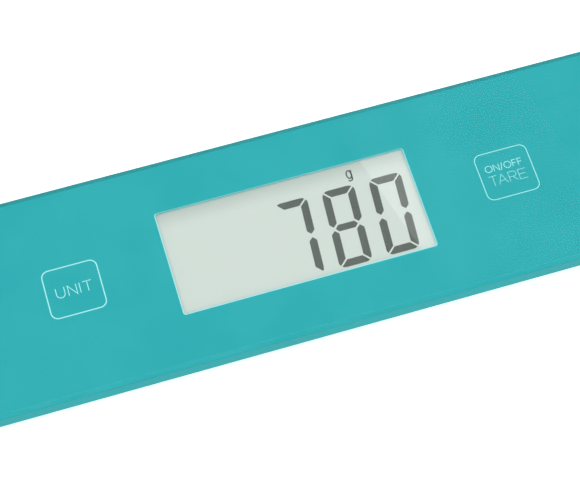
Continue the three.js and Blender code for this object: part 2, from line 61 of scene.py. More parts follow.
# Key words: text, left end, base line, height, gap between letters, stroke
KEY_WORDS = [
    ("UNIT", -69.81, -1.38, 3.12, 1.0, 0.26),
    ("ON/OFF", 58.5, 1.51, 2.05, 0.5, 0.22),
    ("TARE", 58.53, -3.0, 3.1, 0.7, 0.15),
]
WIDE_LETTERS = {"U": 0.78, "N": 0.77, "T": 0.79, "O": 1.0, "A": 0.87}
NARROW_LETTERS = {"I": 0.0, "/": 0.3, "F": 0.58, "R": 0.74, "E": 0.74}
LETTER_WIDTH = WIDE_LETTERS | NARROW_LETTERS
KERNING = {"TA": -0.21}

# Segment display: a mitred seven-segment digit, upright, with its centre at the origin
DIGIT = {
    "half_width": 4.89,
    "half_height": 12.24,
    "bar": 2.26,
    "middle": 1.03,
    "mitre_gap": 0.255,
    "corner_r": 2.0,
    "waist": 0.52,
    "middle_tip": 3.3,
    "middle_shoulder": 2.43,
    "slant": 0.078,
}
DIGIT_PITCH = 14.19
FIRST_DIGIT = {"x": 0.53, "y": -2.76}
READING = "780"
SEGMENTS_OF = {"7": "ABC", "8": "ABCDEFG", "0": "ABCDEF"}
SEGMENT_INK = {"lift": 0.004, "thickness": 0.012}
# The small g: its middle, then its bowl, stem and hook about that middle
UNIT_LETTER = {
    "x": 20.22,
    "y": 12.75,
    "stroke": 0.42,
    "bowl": (0.72, 1.25),
    "stem_top": (0.78, 1.4),
    "stem_foot": (0.66, -1.3),
    "hook_at": (-0.02, -1.45),
    "hook": (0.68, 0.62),
}

# Turned and moulded parts of the underside, and the bead between plate and shell
EDGE_ROUNDING = {"bottom_shell": 0.2, "battery_door": 0.15}
SHARP_ANGLE = 38.0
COPLANAR_ANGLE = 0.5
SEAL = {"gap": 0.01, "outer": 0.04, "inner": 0.19}
LATHE_STEPS = {"foot": 72, "cell": 96}
CUP_LIP = 0.8
CUP_TOP = 3.2
CUP_STUD = {"base_r": 4.0, "base_top": 4.6, "r": 1.5}
GRIP_RINGS = {"count": 4, "first_r": 1.2, "pitch": 1.35, "slope": 0.12, "land": 0.3, "depth": 0.22}
CELL_PLUS = {"length": 4.2, "stroke": 0.55, "r": 0.2, "proud": 0.03, "sunk": 0.02}

# Camera and studio
CAMERA = {
    "aim": (-2.56, -3.65, 14.0),
    "distance": 513.78,
    "azimuth": -17.93,
    "elevation": 65.3,
    "roll": 1.217,
    "lens": 112.69,
    "sensor": 36.0,
    "clip": (0.01, 50.0),
}
WORLD_LIGHT = 0.93
BACKDROP_LIGHT = 1.05
FLOOR = {"radius": 6000.0, "drop": 0.02, "shade": 0.86, "glow": 0.22, "glow_to_camera": 0.62}
# Strip light, in metres: its middle, the direction of its length, its size and its radiance
STRIP = {
    "centre": (0.397, 0.6099, 1.3233),
    "along": (0.321, -0.915, 0.244),
    "width": 0.192,
    "length": 1.3,
    "radiance": 1.3,
}


# ---------------------------------------------------------------- shapes in the plane


def rounded_outline(width, depth, r, steps=CORNER_STEPS, cx=0.0, cy=0.0):
    """Points of a rounded rectangle, counter-clockwise, always as many for the same steps."""
    points = []
    for corner, (sx, sy) in enumerate(((1, -1), (1, 1), (-1, 1), (-1, -1))):
        for i in range(steps + 1):
            angle = (corner - 1 + i / steps) * math.pi / 2
            x = cx + sx * (width / 2 - r) + r * math.cos(angle)
            y = cy + sy * (depth / 2 - r) + r * math.sin(angle)
            points.append((x, y))
    return points


def arc(cx, cy, rx, ry, start, end, steps=10):
    """Points of an elliptical arc, angles in degrees."""
    angles = [math.radians(start + (end - start) * i / steps) for i in range(steps + 1)]
    return [(cx + rx * math.cos(a), cy + ry * math.sin(a)) for a in angles]


def stroke_sides(points, width, closed):
    """The left and right edge points of a stroke of even width along points, mitred at its corners."""
    count = len(points)
    left, right = [], []
    for i, point in enumerate(points):
        here = Vector(point)
        before = Vector(points[i - 1]) if closed or i else here
        after = Vector(points[(i + 1) % count]) if closed or i + 1 < count else here
        into = (here - before).normalized() if before != here else (after - here).normalized()
        out = (after - here).normalized() if after != here else into
        normal = Vector((-(into + out).y, (into + out).x)).normalized()
        reach = width / 2 / max(0.4, normal.dot(Vector((-into.y, into.x))))
        left.append(here + normal * reach)
        right.append(here - normal * reach)
    return left, right


# ---------------------------------------------------------------- meshes


def finish_mesh(bm, name, materials, smooth=40.0):
    """An object from bm, in millimetres, with its edges sharp where they bend more than smooth degrees."""
    bmesh.ops.scale(bm, vec=(MM, MM, MM), verts=bm.verts)
    if len(bm.faces) > 1:
        bmesh.ops.recalc_face_normals(bm, faces=bm.faces)
    for face in bm.faces:
        face.smooth = True
    mesh = bpy.data.meshes.new(name)
    bm.to_mesh(mesh)
    bm.free()
    mesh.set_sharp_from_angle(angle=math.radians(smooth))
    for material in materials:
        mesh.materials.append(material)
    piece = bpy.data.objects.new(name, mesh)
    bpy.context.scene.collection.objects.link(piece)
    return piece


def add_prism(bm, outline, z0, z1):
    """An upright solid on a counter-clockwise outline."""
    low = [bm.verts.new((x, y, z0)) for x, y in outline]
    high = [bm.verts.new((x, y, z1)) for x, y in outline]
    bm.faces.new(high)
    bm.faces.new(low[::-1])
    for i in range(len(outline)):
        j = (i + 1) % len(outline)
        bm.faces.new((low[i], low[j], high[j], high[i]))


def add_stroke(bm, points, width, z0, z1, closed=False):
    """A flat band of ink along points."""
    left, right = stroke_sides(points, width, closed)
    rows = [
        [bm.verts.new((p.x, p.y, z)) for p, z in ((l, z0), (r, z0), (r, z1), (l, z1))]
        for l, r in zip(left, right)
    ]
    count = len(rows)
    for i in range(count if closed else count - 1):
        a, b = rows[i], rows[(i + 1) % count]
        for k in range(4):
            m = (k + 1) % 4
            bm.faces.new((a[k], a[m], b[m], b[k]))
    if not closed:
        bm.faces.new(rows[0][::-1])
        bm.faces.new(rows[-1])


def lathe(name, profile, steps, centre, materials, smooth=35.0):
    """A piece turned about a vertical axis at centre from [radius, height] pairs that start and end on it."""
    bm = bmesh.new()
    rings = []
    for r, z in profile:
        if r == 0:
            rings.append([bm.verts.new((centre[0], centre[1], z))])
            continue
        ring = arc(*centre, r, r, 0, 360, steps)[:steps]
        rings.append([bm.verts.new((x, y, z)) for x, y in ring])
    for lower, upper in zip(rings, rings[1:]):
        for i in range(steps):
            j = (i + 1) % steps
            below = [lower[n % len(lower)] for n in (i, j)]
            above = [upper[n % len(upper)] for n in (j, i)]
            corners = list(dict.fromkeys(below + above))
            if len(corners) > 2:
                bm.faces.new(corners)
    return finish_mesh(bm, name, materials, smooth)


def make_moulding(node, body, look):
    """A copy of a CAD node with its shared points joined, its sharp edges rounded and the rest smooth."""
    bm = bmesh.new()
    bm.from_mesh(CAD_NODES[node].data)
    bmesh.ops.remove_doubles(bm, verts=bm.verts, dist=1e-6)
    coplanar = math.radians(COPLANAR_ANGLE)
    bmesh.ops.dissolve_limit(bm, angle_limit=coplanar, verts=bm.verts, edges=bm.edges)
    bmesh.ops.scale(bm, vec=(1 / MM, 1 / MM, 1 / MM), verts=bm.verts)
    piece = finish_mesh(bm, node + "_moulded", [look])
    rounding = piece.modifiers.new("rounding", "BEVEL")
    rounding.width = EDGE_ROUNDING[node] * MM
    rounding.segments = 2
    rounding.limit_method = "ANGLE"
    rounding.angle_limit = math.radians(SHARP_ANGLE)
    rounding.harden_normals = True
    rounding.use_clamp_overlap = True
    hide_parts(node)
    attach(piece, body)


# ---------------------------------------------------------------- materials


TEAL = (0.034, 0.462, 0.494)
GLOSSY_TEAL = (0.006, 0.424, 0.45)
# Painted backlight: a lighter teal for the edge lacquer's inner side, standing in for light that comes
# through the glass
PAINTED_BACKLIGHT_TEAL = (0.075, 0.60, 0.63)
INK_LIGHT = (0.25, 0.85, 0.87)
BLACK = (0.0, 0.0, 0.0)
WHITE = (1.0, 1.0, 1.0)


def mixed(a, b, share):
    """Colour a with a share of colour b in it."""
    return tuple(x + (y - x) * share for x, y in zip(a, b))


class Look:
    """A node material around one Principled shader, which reads the piece's own coordinates."""

    def __init__(self, name, color, roughness, metallic=0.0, **values):
        self.material = bpy.data.materials.new(name)
        self.material.use_nodes = True
        self.tree = self.material.node_tree
        self.shader = self.tree.nodes["Principled BSDF"]
        self.output = self.tree.nodes["Material Output"]
        self.place = self.tree.nodes.new("ShaderNodeTexCoord").outputs["Object"]
        self.relief = None
        self.put(self.shader, "Base Color", (*color, 1.0))
        self.put(self.shader, "Roughness", roughness)
        self.put(self.shader, "Metallic", metallic)
        for socket, value in values.items():
            self.put(self.shader, socket.replace("_", " "), value)

    def put(self, node, socket, value):
        if isinstance(value, bpy.types.NodeSocket):
            self.tree.links.new(value, node.inputs[socket])
        else:
            node.inputs[socket].default_value = value

    def node(self, kind, inputs=(), **settings):
        made = self.tree.nodes.new("ShaderNode" + kind)
        for key, value in settings.items():
            setattr(made, key, value)
        for socket, value in dict(inputs).items():
            self.put(made, socket, value)
        return made

    def stretched(self, x, y, z):
        return self.node("Mapping", {"Vector": self.place, "Scale": (x, y, z)}).outputs["Vector"]

    def noise(self, size, detail=2.0, place=None, distortion=0.0):
        """Noise between 0 and 1 whose features are about size millimetres."""
        inputs = {
            "Vector": place or self.place,
            "Scale": 1 / (size * MM),
            "Detail": detail,
            "Distortion": distortion,
        }
        return self.node("TexNoise", inputs).outputs["Fac"]

    def cells(self, size, place=None):
        inputs = {"Vector": place or self.place, "Scale": 1 / (size * MM)}
        return self.node("TexVoronoi", inputs).outputs["Distance"]

    def spread(self, factor, low, high, start=0.35, end=0.65):
        """factor from start to end becomes low to high."""
        inputs = {"Value": factor, "From Min": start, "From Max": end, "To Min": low, "To Max": high}
        return self.node("MapRange", inputs).outputs["Result"]

    def math(self, operation, a, b=0.0):
        return self.node("Math", {0: a, 1: b}, operation=operation).outputs[0]

    def blend(self, factor, a, b):
        a = (*a, 1.0) if isinstance(a, tuple) else a
        b = (*b, 1.0) if isinstance(b, tuple) else b
        return self.node("Mix", {0: factor, 6: a, 7: b}, data_type="RGBA").outputs[2]

    def varied(self, factor, color, darker, lighter):
        """color, from a share darker of black in it where factor is low to a share lighter of white."""
        shades = mixed(color, BLACK, darker), mixed(color, WHITE, lighter)
        return self.blend(self.spread(factor, 0.0, 1.0), *shades)

    def paint(self, color):
        self.put(self.shader, "Base Color", color)
        return self

    def rough(self, factor, low, high):
        self.put(self.shader, "Roughness", self.spread(factor, low, high))
        return self

    def bump(self, height, depth):
        """Adds relief of height 0 to 1 times depth millimetres."""
        inputs = {"Height": height, "Distance": depth * MM, "Strength": 1.0}
        if self.relief:
            inputs["Normal"] = self.relief
        self.relief = self.node("Bump", inputs).outputs["Normal"]
        self.put(self.shader, "Normal", self.relief)
        return self

    def pass_light(self, tint=WHITE):
        """Lets shadow rays and diffuse light straight through, coloured by tint."""
        path = self.node("LightPath")
        open_way = self.node("BsdfTransparent", {"Color": (*tint, 1.0)})
        surface = self.shader.outputs["BSDF"]
        for kind in ("Is Shadow Ray", "Is Diffuse Ray"):
            mixer = self.node("MixShader", {0: path.outputs[kind]})
            self.tree.links.new(surface, mixer.inputs[1])
            self.tree.links.new(open_way.outputs["BSDF"], mixer.inputs[2])
            surface = mixer.outputs["Shader"]
        self.tree.links.new(surface, self.output.inputs["Surface"])
        return self


def clear_glass(name, coating, tint=WHITE):
    """Clear glass or film whose coating lets it mirror only that share of what bare glass would."""
    mirrored = (coating, coating, coating, 1.0)
    look = Look(name, tint, 0.0, IOR=1.5, Transmission_Weight=1.0, Specular_Tint=mirrored)
    return look.pass_light(tint)


def platform_glass():
    """Tempered plate: a very slow roller wave in an otherwise polished, coated surface."""
    look = clear_glass("platform_glass", 0.05)
    return look.bump(look.noise(38.0, 1.0), 0.004).material


def printed_film():
    """Screen-printed ink bonded to the glass: faint clouding and the mesh of the screen."""
    look = Look("printed_film", TEAL, 0.45, Specular_IOR_Level=0.0)
    cloud = look.noise(14.0, 3.0)
    mesh = look.cells(0.16)
    color = look.varied(cloud, TEAL, 0.035, 0.006)
    color = look.blend(look.spread(mesh, 0.0, 0.05, 0.1, 0.6), color, (0.02, 0.36, 0.39))
    return look.paint(color).rough(cloud, 0.4, 0.5).pass_light(INK_LIGHT).material


def edge_lacquer():
    """Translucent teal lacquer on the ground sides of the plate, with painted backlight: a lighter teal
    painted where its inner side is seen through the glass.
    """
    look = Look("edge_lacquer", TEAL, 0.3, Specular_IOR_Level=0.0)
    ground = look.noise(0.16, 2.0, look.stretched(0.05, 0.05, 1.0))
    shift = look.noise(9.0, 3.0)
    outside = look.varied(shift, TEAL, 0.04, 0.01)
    through_glass = look.node("NewGeometry").outputs["Backfacing"]
    # Painted backlight: where the lacquer's inner side is seen through the glass it is painted a lighter teal
    look.paint(look.blend(through_glass, outside, PAINTED_BACKLIGHT_TEAL))
    return look.rough(ground, 0.24, 0.4).bump(ground, 0.003).pass_light().material


def pale_ink():
    """Ice-blue ink of the key prints and of the print's undercoat, slightly uneven from the screen."""
    thin, thick = (0.38, 0.93, 0.93), (0.44, 0.98, 0.98)
    look = Look("pale_ink", thin, 0.5, Specular_IOR_Level=0.0)
    grain = look.noise(0.18, 3.0)
    return look.paint(look.blend(look.spread(grain, 0.0, 1.0), thin, thick)).material


def moulded_teal():
    """Satin moulded plastic: spark-eroded grain, slow gloss changes and faint handling marks."""
    look = Look("body_plastic", GLOSSY_TEAL, 0.4, Specular_IOR_Level=0.12)
    slow = look.noise(16.0, 3.0)
    grain = look.noise(0.42, 3.0)
    scuff = look.noise(5.0, 4.0, look.stretched(1.0, 0.22, 1.0), 0.6)
    base = look.varied(slow, GLOSSY_TEAL, 0.05, 0.012)
    rubbed = mixed(GLOSSY_TEAL, WHITE, 0.25)
    base = look.blend(look.spread(scuff, 0.0, 0.12, 0.62, 0.74), base, rubbed)
    look.paint(base).rough(slow, 0.34, 0.48)
    return look.bump(grain, 0.018).bump(slow, 0.03).material


def lcd_panel():
    """Pale reflective cell: fine frosting, and the shade that the housing throws along its rear edge."""
    pale = (0.693, 0.76, 0.722)
    shade_depth, shade_start, wander_depth = 6.2 * MM, 0.6 * MM, 2.4 * MM
    look = Look("lcd_cell", pale, 0.6, Specular_IOR_Level=0.0)
    frost = look.noise(0.22, 2.0)
    patch = look.noise(18.0, 2.0)
    base = look.varied(frost, pale, 0.02, 0.02)
    base = look.blend(look.spread(patch, 0.0, 0.35), base, mixed(pale, (1, 0.98, 0.9), 0.04))
    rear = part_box("lcd_polarizer")[1].y
    depth = look.node("SeparateXYZ", {"Vector": look.place}).outputs["Y"]
    wander = look.math("MULTIPLY", look.noise(30.0, 1.0), wander_depth)
    reach = look.math("ADD", depth, wander)
    shade = look.node(
        "MapRange",
        {"Value": reach, "From Min": rear - shade_depth, "From Max": rear + shade_start},
        interpolation_type="SMOOTHSTEP",
    ).outputs["Result"]
    base = look.blend(look.math("MULTIPLY", shade, 0.36), base, (0.30, 0.36, 0.33))
    return look.paint(base).material


def segment_ink():
    """Dark grey of the lit bars, with the grain of the liquid crystal."""
    dark, pale = (0.092, 0.111, 0.1), (0.112, 0.133, 0.12)
    look = Look("lcd_segments", dark, 0.5, Specular_IOR_Level=0.0)
    grain = look.noise(0.3, 2.0)
    return look.paint(look.blend(look.spread(grain, 0.0, 1.0), dark, pale)).material


def polarizer_film():
    """The display's front film, which mirrors more than the coated plate above it."""
    return clear_glass("lcd_polarizer", 0.6, (0.985, 1.0, 0.99)).material


def rubber(name, color):
    """Matt rubber or potting with a fine grain and a little dust."""
    look = Look(name, color, 0.85, Specular_IOR_Level=0.3)
    fine = look.noise(0.25, 4.0)
    dust = look.noise(3.0, 5.0)
    look.paint(look.blend(look.spread(dust, 0.0, 0.4), color, mixed(color, (0.75, 0.74, 0.7), 0.18)))
    return look.rough(dust, 0.75, 0.95).bump(fine, 0.03).material


def plastic(name, color):
    """Satin moulded plastic with slow gloss changes."""
    look = Look(name, color, 0.5)
    slow = look.noise(7.0, 3.0)
    grain = look.noise(0.35, 3.0)
    look.paint(look.varied(slow, color, 0.06, 0.03))
    return look.rough(slow, 0.42, 0.58).bump(grain, 0.015).material


def steel(name, color):
    """Plated steel, drawn along one direction, with fine scratches and a few dull spots."""
    look = Look(name, color, 0.3, 1.0)
    drawn = look.noise(0.12, 3.0, look.stretched(1.0, 0.04, 1.0))
    spots = look.noise(2.2, 5.0)
    look.paint(look.varied(drawn, color, 0.07, 0.05))
    return look.rough(spots, 0.25, 0.36).bump(drawn, 0.001).material


def circuit_board():
    """Green solder mask with copper tracks that show as lighter lines below it."""
    green = (0.012, 0.11, 0.035)
    look = Look("circuit_board", green, 0.35)
    grid = {"Vector": look.place, "Scale": 1 / (3.2 * MM), "Mortar Size": 0.035}
    tracks = look.node("TexBrick", grid).outputs["Fac"]
    weave = look.noise(0.5, 2.0, look.stretched(1.0, 0.15, 1.0))
    base = look.blend(look.spread(weave, 0.0, 0.5), green, mixed(green, BLACK, 0.3))
    look.paint(look.blend(look.math("MULTIPLY", tracks, 0.6), base, (0.05, 0.26, 0.09)))
    return look.bump(tracks, 0.02).material


def epoxy():
    """Black chip casing with a fine grit."""
    look = Look("black_epoxy", (0.012, 0.012, 0.013), 0.4)
    grit = look.noise(0.2, 4.0)
    look.paint(look.blend(look.spread(grit, 0.0, 1.0), (0.008, 0.008, 0.009), (0.022, 0.022, 0.023)))
    return look.rough(grit, 0.35, 0.55).bump(grit, 0.012).material


def foam():
    """Black foam tape with open pores."""
    look = Look("foam_tape", (0.03, 0.03, 0.033), 0.9)
    pores = look.cells(0.22)
    look.paint(look.blend(pores, (0.012, 0.012, 0.014), (0.06, 0.06, 0.065)))
    return look.bump(pores, 0.05).material


def zebra():
    """Elastomer connector: dark and light layers side by side along its length."""
    look = Look("connector_rubber", (0.3, 0.3, 0.3), 0.7)
    bands = {"Vector": look.place, "Scale": 1 / (0.9 * MM), "Distortion": 0.1}
    layers = look.node("TexWave", bands).outputs["Fac"]
    return look.paint(look.blend(layers, (0.02, 0.02, 0.022), (0.62, 0.4, 0.36))).bump(layers, 0.01).material


def insulation(name, color):
    """Extruded wire insulation with faint ribs along it."""
    look = Look(name, color, 0.5)
    ribs = look.noise(0.6, 3.0, look.stretched(0.2, 1.0, 1.0))
    look.paint(look.varied(ribs, color, 0.12, 0.05))
    return look.rough(ribs, 0.42, 0.6).bump(ribs, 0.015).material


def studio_floor():
    """Pale sweep that glows a little, so that it stays white, and can be seen through from below."""
    look = Look("studio_floor", (FLOOR["shade"],) * 3, 0.9, Specular_IOR_Level=0.0)
    look.put(look.shader, "Emission Color", (1.0, 1.0, 1.0, 1.0))
    seen = look.node("LightPath").outputs["Is Camera Ray"]
    glow = look.spread(seen, FLOOR["glow"], FLOOR["glow_to_camera"], 0.0, 1.0)
    look.put(look.shader, "Emission Strength", glow)
    clear = look.node("BsdfTransparent")
    below = look.node("NewGeometry").outputs["Backfacing"]
    mixer = look.node("MixShader", {0: below})
    look.tree.links.new(look.shader.outputs["BSDF"], mixer.inputs[1])
    look.tree.links.new(clear.outputs["BSDF"], mixer.inputs[2])
    look.tree.links.new(mixer.outputs["Shader"], look.output.inputs["Surface"])
    return look.material


# ---------------------------------------------------------------- places taken from the CAD


def span(node):
    """Lowest and highest corner of a CAD node in millimetres."""
    low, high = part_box(node)
    return low / MM, high / MM


GLASS_LOW, GLASS_HIGH = span("glass_platform")
LENGTH = GLASS_HIGH.x - GLASS_LOW.x
DEPTH = GLASS_HIGH.y - GLASS_LOW.y
FILM_LOW, FILM_HIGH = span("lcd_polarizer")
DISPLAY_Y = (FILM_LOW.y + FILM_HIGH.y) / 2
CORNERS = [(end, side) for end in ("front", "rear") for side in ("left", "right")]


# ---------------------------------------------------------------- platform


def glass_levels():
    """(inset, height) of each outline of the plate from its bottom face up to its top face."""
    turn = [math.pi / 2 * i / ARRIS_STEPS for i in range(ARRIS_STEPS + 1)]
    curve = [(1 - math.sin(a), 1 - math.cos(a)) for a in turn]
    lower = [(ARRIS["bottom"] * inset, GLASS_LOW.z + ARRIS["bottom"] * rise) for inset, rise in curve]
    upper = [(ARRIS["top"] * inset, GLASS_HIGH.z - ARRIS["top"] * rise) for inset, rise in reversed(curve)]
    return lower + upper


def make_glass(glass, film, lacquer):
    """The plate, whose bottom face carries the ink everywhere but in the display's window."""
    bm = bmesh.new()
    loops = []
    for inset, z in glass_levels():
        outline = rounded_outline(LENGTH - 2 * inset, DEPTH - 2 * inset, CORNER_R - inset)
        loops.append([bm.verts.new((x, y, z)) for x, y in outline])
    width, depth, r, x, y = WINDOW.values()
    window = rounded_outline(width, depth, r, cx=x, cy=DISPLAY_Y + y)
    pane = [bm.verts.new((x, y, GLASS_LOW.z)) for x, y in window]
    count = len(pane)
    for level, (lower, upper) in enumerate(zip(loops, loops[1:])):
        for i in range(count):
            j = (i + 1) % count
            face = bm.faces.new((lower[i], lower[j], upper[j], upper[i]))
            face.material_index = 1 if level < ARRIS_STEPS else 2 if level == ARRIS_STEPS else 0
    inked = []
    for i in range(count):
        j = (i + 1) % count
        inked.append(bm.faces.new((loops[0][j], loops[0][i], pane[i], pane[j])))
    flats = [bm.faces.new(pane[::-1]), bm.faces.new(loops[-1])] + inked
    for face in inked:
        face.material_index = 1
    bm.faces.index_update()
    flat_numbers = [face.index for face in flats]
    piece = finish_mesh(bm, "glass_plate", [glass, film, lacquer])
    for number in flat_numbers:
        piece.data.polygons[number].use_smooth = False
    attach(piece, "root")
    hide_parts("glass_platform")


def letter_strokes():
    """Each letter as open or closed lines in a cell one unit wide and one high."""
    bowl = arc(0.62, 0.74, 0.38, 0.26, 90, -90, 10)
    return {
        "U": [([(0, 1)] + arc(0.5, 0.4, 0.5, 0.4, 180, 360, 14) + [(1, 1)], False)],
        "N": [([(0, 0), (0, 1), (1, 0), (1, 1)], False)],
        "I": [([(0, 0), (0, 1)], False)],
        "T": [([(0, 1), (1, 1)], False), ([(0.5, 0), (0.5, 1)], False)],
        "O": [(arc(0.5, 0.5, 0.5, 0.5, 0, 345, 23), True)],
        "F": [([(0, 0), (0, 1), (1, 1)], False), ([(0, 0.52), (0.9, 0.52)], False)],
        "A": [([(0, 0), (0.5, 1), (1, 0)], False), ([(0.18, 0.34), (0.82, 0.34)], False)],
        "R": [([(0, 0), (0, 1)] + bowl + [(0, 0.48)], False), ([(0.5, 0.48), (1, 0)], False)],
        "E": [([(1, 0), (0, 0), (0, 1), (1, 1)], False), ([(0, 0.52), (0.9, 0.52)], False)],
        "/": [([(0, -0.1), (1, 1.1)], False)],
    }


def add_word(bm, word, x, y, height, gap, stroke, z0, z1):
    """A word in the thin capitals of the keys, from x rightwards on the line y."""
    letters = letter_strokes()
    for letter, following in zip(word, word[1:] + " "):
        wide = LETTER_WIDTH[letter] * height
        for points, closed in letters[letter]:
            placed = [(x + px * wide, y + py * height) for px, py in points]
            add_stroke(bm, placed, stroke, z0, z1, closed)
        x += wide + gap + KERNING.get(letter + following, 0.0) * height


def make_key_prints(ink):
    """The two key outlines with their words, on the underside of the plate."""
    bm = bmesh.new()
    z0 = GLASS_LOW.z + INK["lift"]
    z1 = z0 + INK["thickness"]
    for x, stroke in KEY_OUTLINES:
        outline = rounded_outline(KEY["width"], KEY["depth"], KEY["r"], 8, x, DISPLAY_Y + KEY["y"])
        add_stroke(bm, outline, stroke, z0, z1, True)
    for word, x, y, height, gap, stroke in KEY_WORDS:
        add_word(bm, word, x, DISPLAY_Y + y, height, gap, stroke, z0, z1)
    piece = finish_mesh(bm, "key_prints", [ink])
    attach(piece, "root")


def make_edge_seal(look):
    """The teal adhesive bead that closes the joint between the plate and the shell's rim."""
    bm = bmesh.new()
    z0, z1 = span("bottom_shell")[1].z + SEAL["gap"], GLASS_LOW.z - SEAL["gap"]
    rings = []
    for z in (z0, z1):
        for inset in (SEAL["outer"], SEAL["inner"]):
            outline = rounded_outline(LENGTH - 2 * inset, DEPTH - 2 * inset, CORNER_R - inset)
            rings.append([bm.verts.new((x, y, z)) for x, y in outline])
    join_rings(bm, rings)
    piece = finish_mesh(bm, "edge_seal", [look])
    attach(piece, "root")


def join_rings(bm, rings):
    """The four walls of a flat band between its low outer, low inner, high outer and high inner outline."""
    low_outer, low_inner, high_outer, high_inner = rings
    for i in range(len(low_outer)):
        j = (i + 1) % len(low_outer)
        bm.faces.new((high_outer[i], high_outer[j], high_inner[j], high_inner[i]))
        bm.faces.new((low_outer[j], low_outer[i], low_inner[i], low_inner[j]))
        bm.faces.new((low_outer[i], low_outer[j], high_outer[j], high_outer[i]))
        bm.faces.new((low_inner[j], low_inner[i], high_inner[i], high_inner[j]))


def make_window_line(ink):
    """The pale undercoat of the print, which shows as a hairline round the window, narrower at its rear."""
    bm = bmesh.new()
    margin, rear = UNDERCOAT["margin"], UNDERCOAT["rear"]
    z0 = GLASS_LOW.z + INK["lift"]
    width, depth, r, x, y = WINDOW.values()
    outer = rounded_outline(width, depth, r, cx=x, cy=DISPLAY_Y + y)
    inner_y = DISPLAY_Y + y + (margin - rear) / 2
    inner = rounded_outline(width - 2 * margin, depth - margin - rear, r, cx=x, cy=inner_y)
    rings = []
    for z in (z0, z0 + INK["thickness"]):
        for outline in (outer, inner):
            rings.append([bm.verts.new((px, py, z)) for px, py in outline])
    join_rings(bm, rings)
    piece = finish_mesh(bm, "window_line", [ink])
    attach(piece, "root")


# ---------------------------------------------------------------- display


def bar_shapes():
    """The seven bars A to G as outlines, counter-clockwise, before the digit's slant."""
    w, h = DIGIT["half_width"], DIGIT["half_height"]
    bar, mid, r = DIGIT["bar"], DIGIT["middle"], DIGIT["corner_r"]
    gap = DIGIT["mitre_gap"]
    waist, tip, shoulder = DIGIT["waist"], DIGIT["middle_tip"], DIGIT["middle_shoulder"]
    turn = math.degrees(math.asin(gap / r))
    step = gap * math.sqrt(2)
    top_right = arc(w - r, h - r, r, r, 45 + turn, 90, 4)
    top_left = arc(r - w, h - r, r, r, 90, 135 - turn, 4)
    top = top_right + top_left + [(bar + step - w, h - bar), (w - bar - step, h - bar)]
    side_end = arc(w - r, h - r, r, r, 0, 45 - turn, 4)
    side = side_end + [(w - bar, h - bar - step), (w - bar, waist + bar / 2)]
    side += [(w - bar / 2, waist), (w, waist + bar / 2)]
    middle = [(tip, 0), (shoulder, mid), (-shoulder, mid), (-tip, 0), (-shoulder, -mid), (shoulder, -mid)]

    def flipped(points, sx, sy):
        moved = [(x * sx, y * sy) for x, y in points]
        return moved if sx * sy > 0 else moved[::-1]

    return {
        "A": top,
        "B": side,
        "C": flipped(side, 1, -1),
        "D": flipped(top, 1, -1),
        "E": flipped(side, -1, -1),
        "F": flipped(side, -1, 1),
        "G": middle,
    }


def add_unit_letter(bm, z0, z1):
    """The small g: a closed bowl, and a stem that ends in a hook."""
    unit_x, unit_y, stroke = UNIT_LETTER["x"], DISPLAY_Y + UNIT_LETTER["y"], UNIT_LETTER["stroke"]

    def placed(part):
        x, y = UNIT_LETTER[part]
        return unit_x + x, unit_y + y

    bowl = arc(unit_x, unit_y, *UNIT_LETTER["bowl"], 20, 340, 18)
    hook = arc(*placed("hook_at"), *UNIT_LETTER["hook"], 0, -150, 8)
    add_stroke(bm, bowl, stroke, z0, z1, True)
    add_stroke(bm, [placed("stem_top"), placed("stem_foot")] + hook, stroke, z0, z1)


def make_segments():
    """The lit bars of the reading and the small g above its last two digits."""
    bm = bmesh.new()
    z0 = span("lcd_glass_front")[1].z + SEGMENT_INK["lift"]
    z1 = z0 + SEGMENT_INK["thickness"]
    shapes = bar_shapes()
    digit_y = DISPLAY_Y + FIRST_DIGIT["y"]
    for place, figure in enumerate(READING):
        cx = FIRST_DIGIT["x"] + place * DIGIT_PITCH
        for bar in SEGMENTS_OF[figure]:
            points = shapes[bar]
            slanted = [(cx + x + DIGIT["slant"] * y, digit_y + y) for x, y in points]
            add_prism(bm, slanted, z0, z1)
    add_unit_letter(bm, z0, z1)
    piece = finish_mesh(bm, "lcd_segments", [segment_ink()])
    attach(piece, "root")


# ---------------------------------------------------------------- underside


def cup_profile(r, top, pad_r, pad_top):
    """Section of a foot's cup: seat of the pad, lip, side, shoulder and stud."""
    seat = pad_top + 0.03
    lip, shoulder, stud = CUP_LIP, CUP_TOP, CUP_STUD
    inside = [(0, seat), (pad_r + 0.1, seat), (pad_r + 0.1, lip + 0.15), (pad_r + 0.2, lip + 0.02)]
    rim = [(pad_r + 0.35, lip), (r - 0.35, lip), (r - 0.1, lip + 0.1), (r, lip + 0.35)]
    side = [(r, shoulder - 0.5), (r - 0.15, shoulder - 0.15), (r - 0.5, shoulder)]
    base = [(stud["base_r"], shoulder), (stud["base_r"], stud["base_top"])]
    return inside + rim + side + base + [(stud["r"], stud["base_top"]), (stud["r"], top), (0, top)]


def pad_profile(r, top):
    """Section of a foot's rubber pad, with grooves between the grip rings of its face."""
    slope, land, depth = GRIP_RINGS["slope"], GRIP_RINGS["land"], GRIP_RINGS["depth"]
    points = [(0, 0), (1.0, 0)]
    for ring in range(GRIP_RINGS["count"]):
        start = GRIP_RINGS["first_r"] + GRIP_RINGS["pitch"] * ring
        floor = start + slope
        points += [(start, 0), (floor, depth), (floor + land, depth), (floor + land + slope, 0)]
    return points + [(r - 0.45, 0), (r - 0.15, 0.1), (r, 0.4), (r, top), (0, top)]


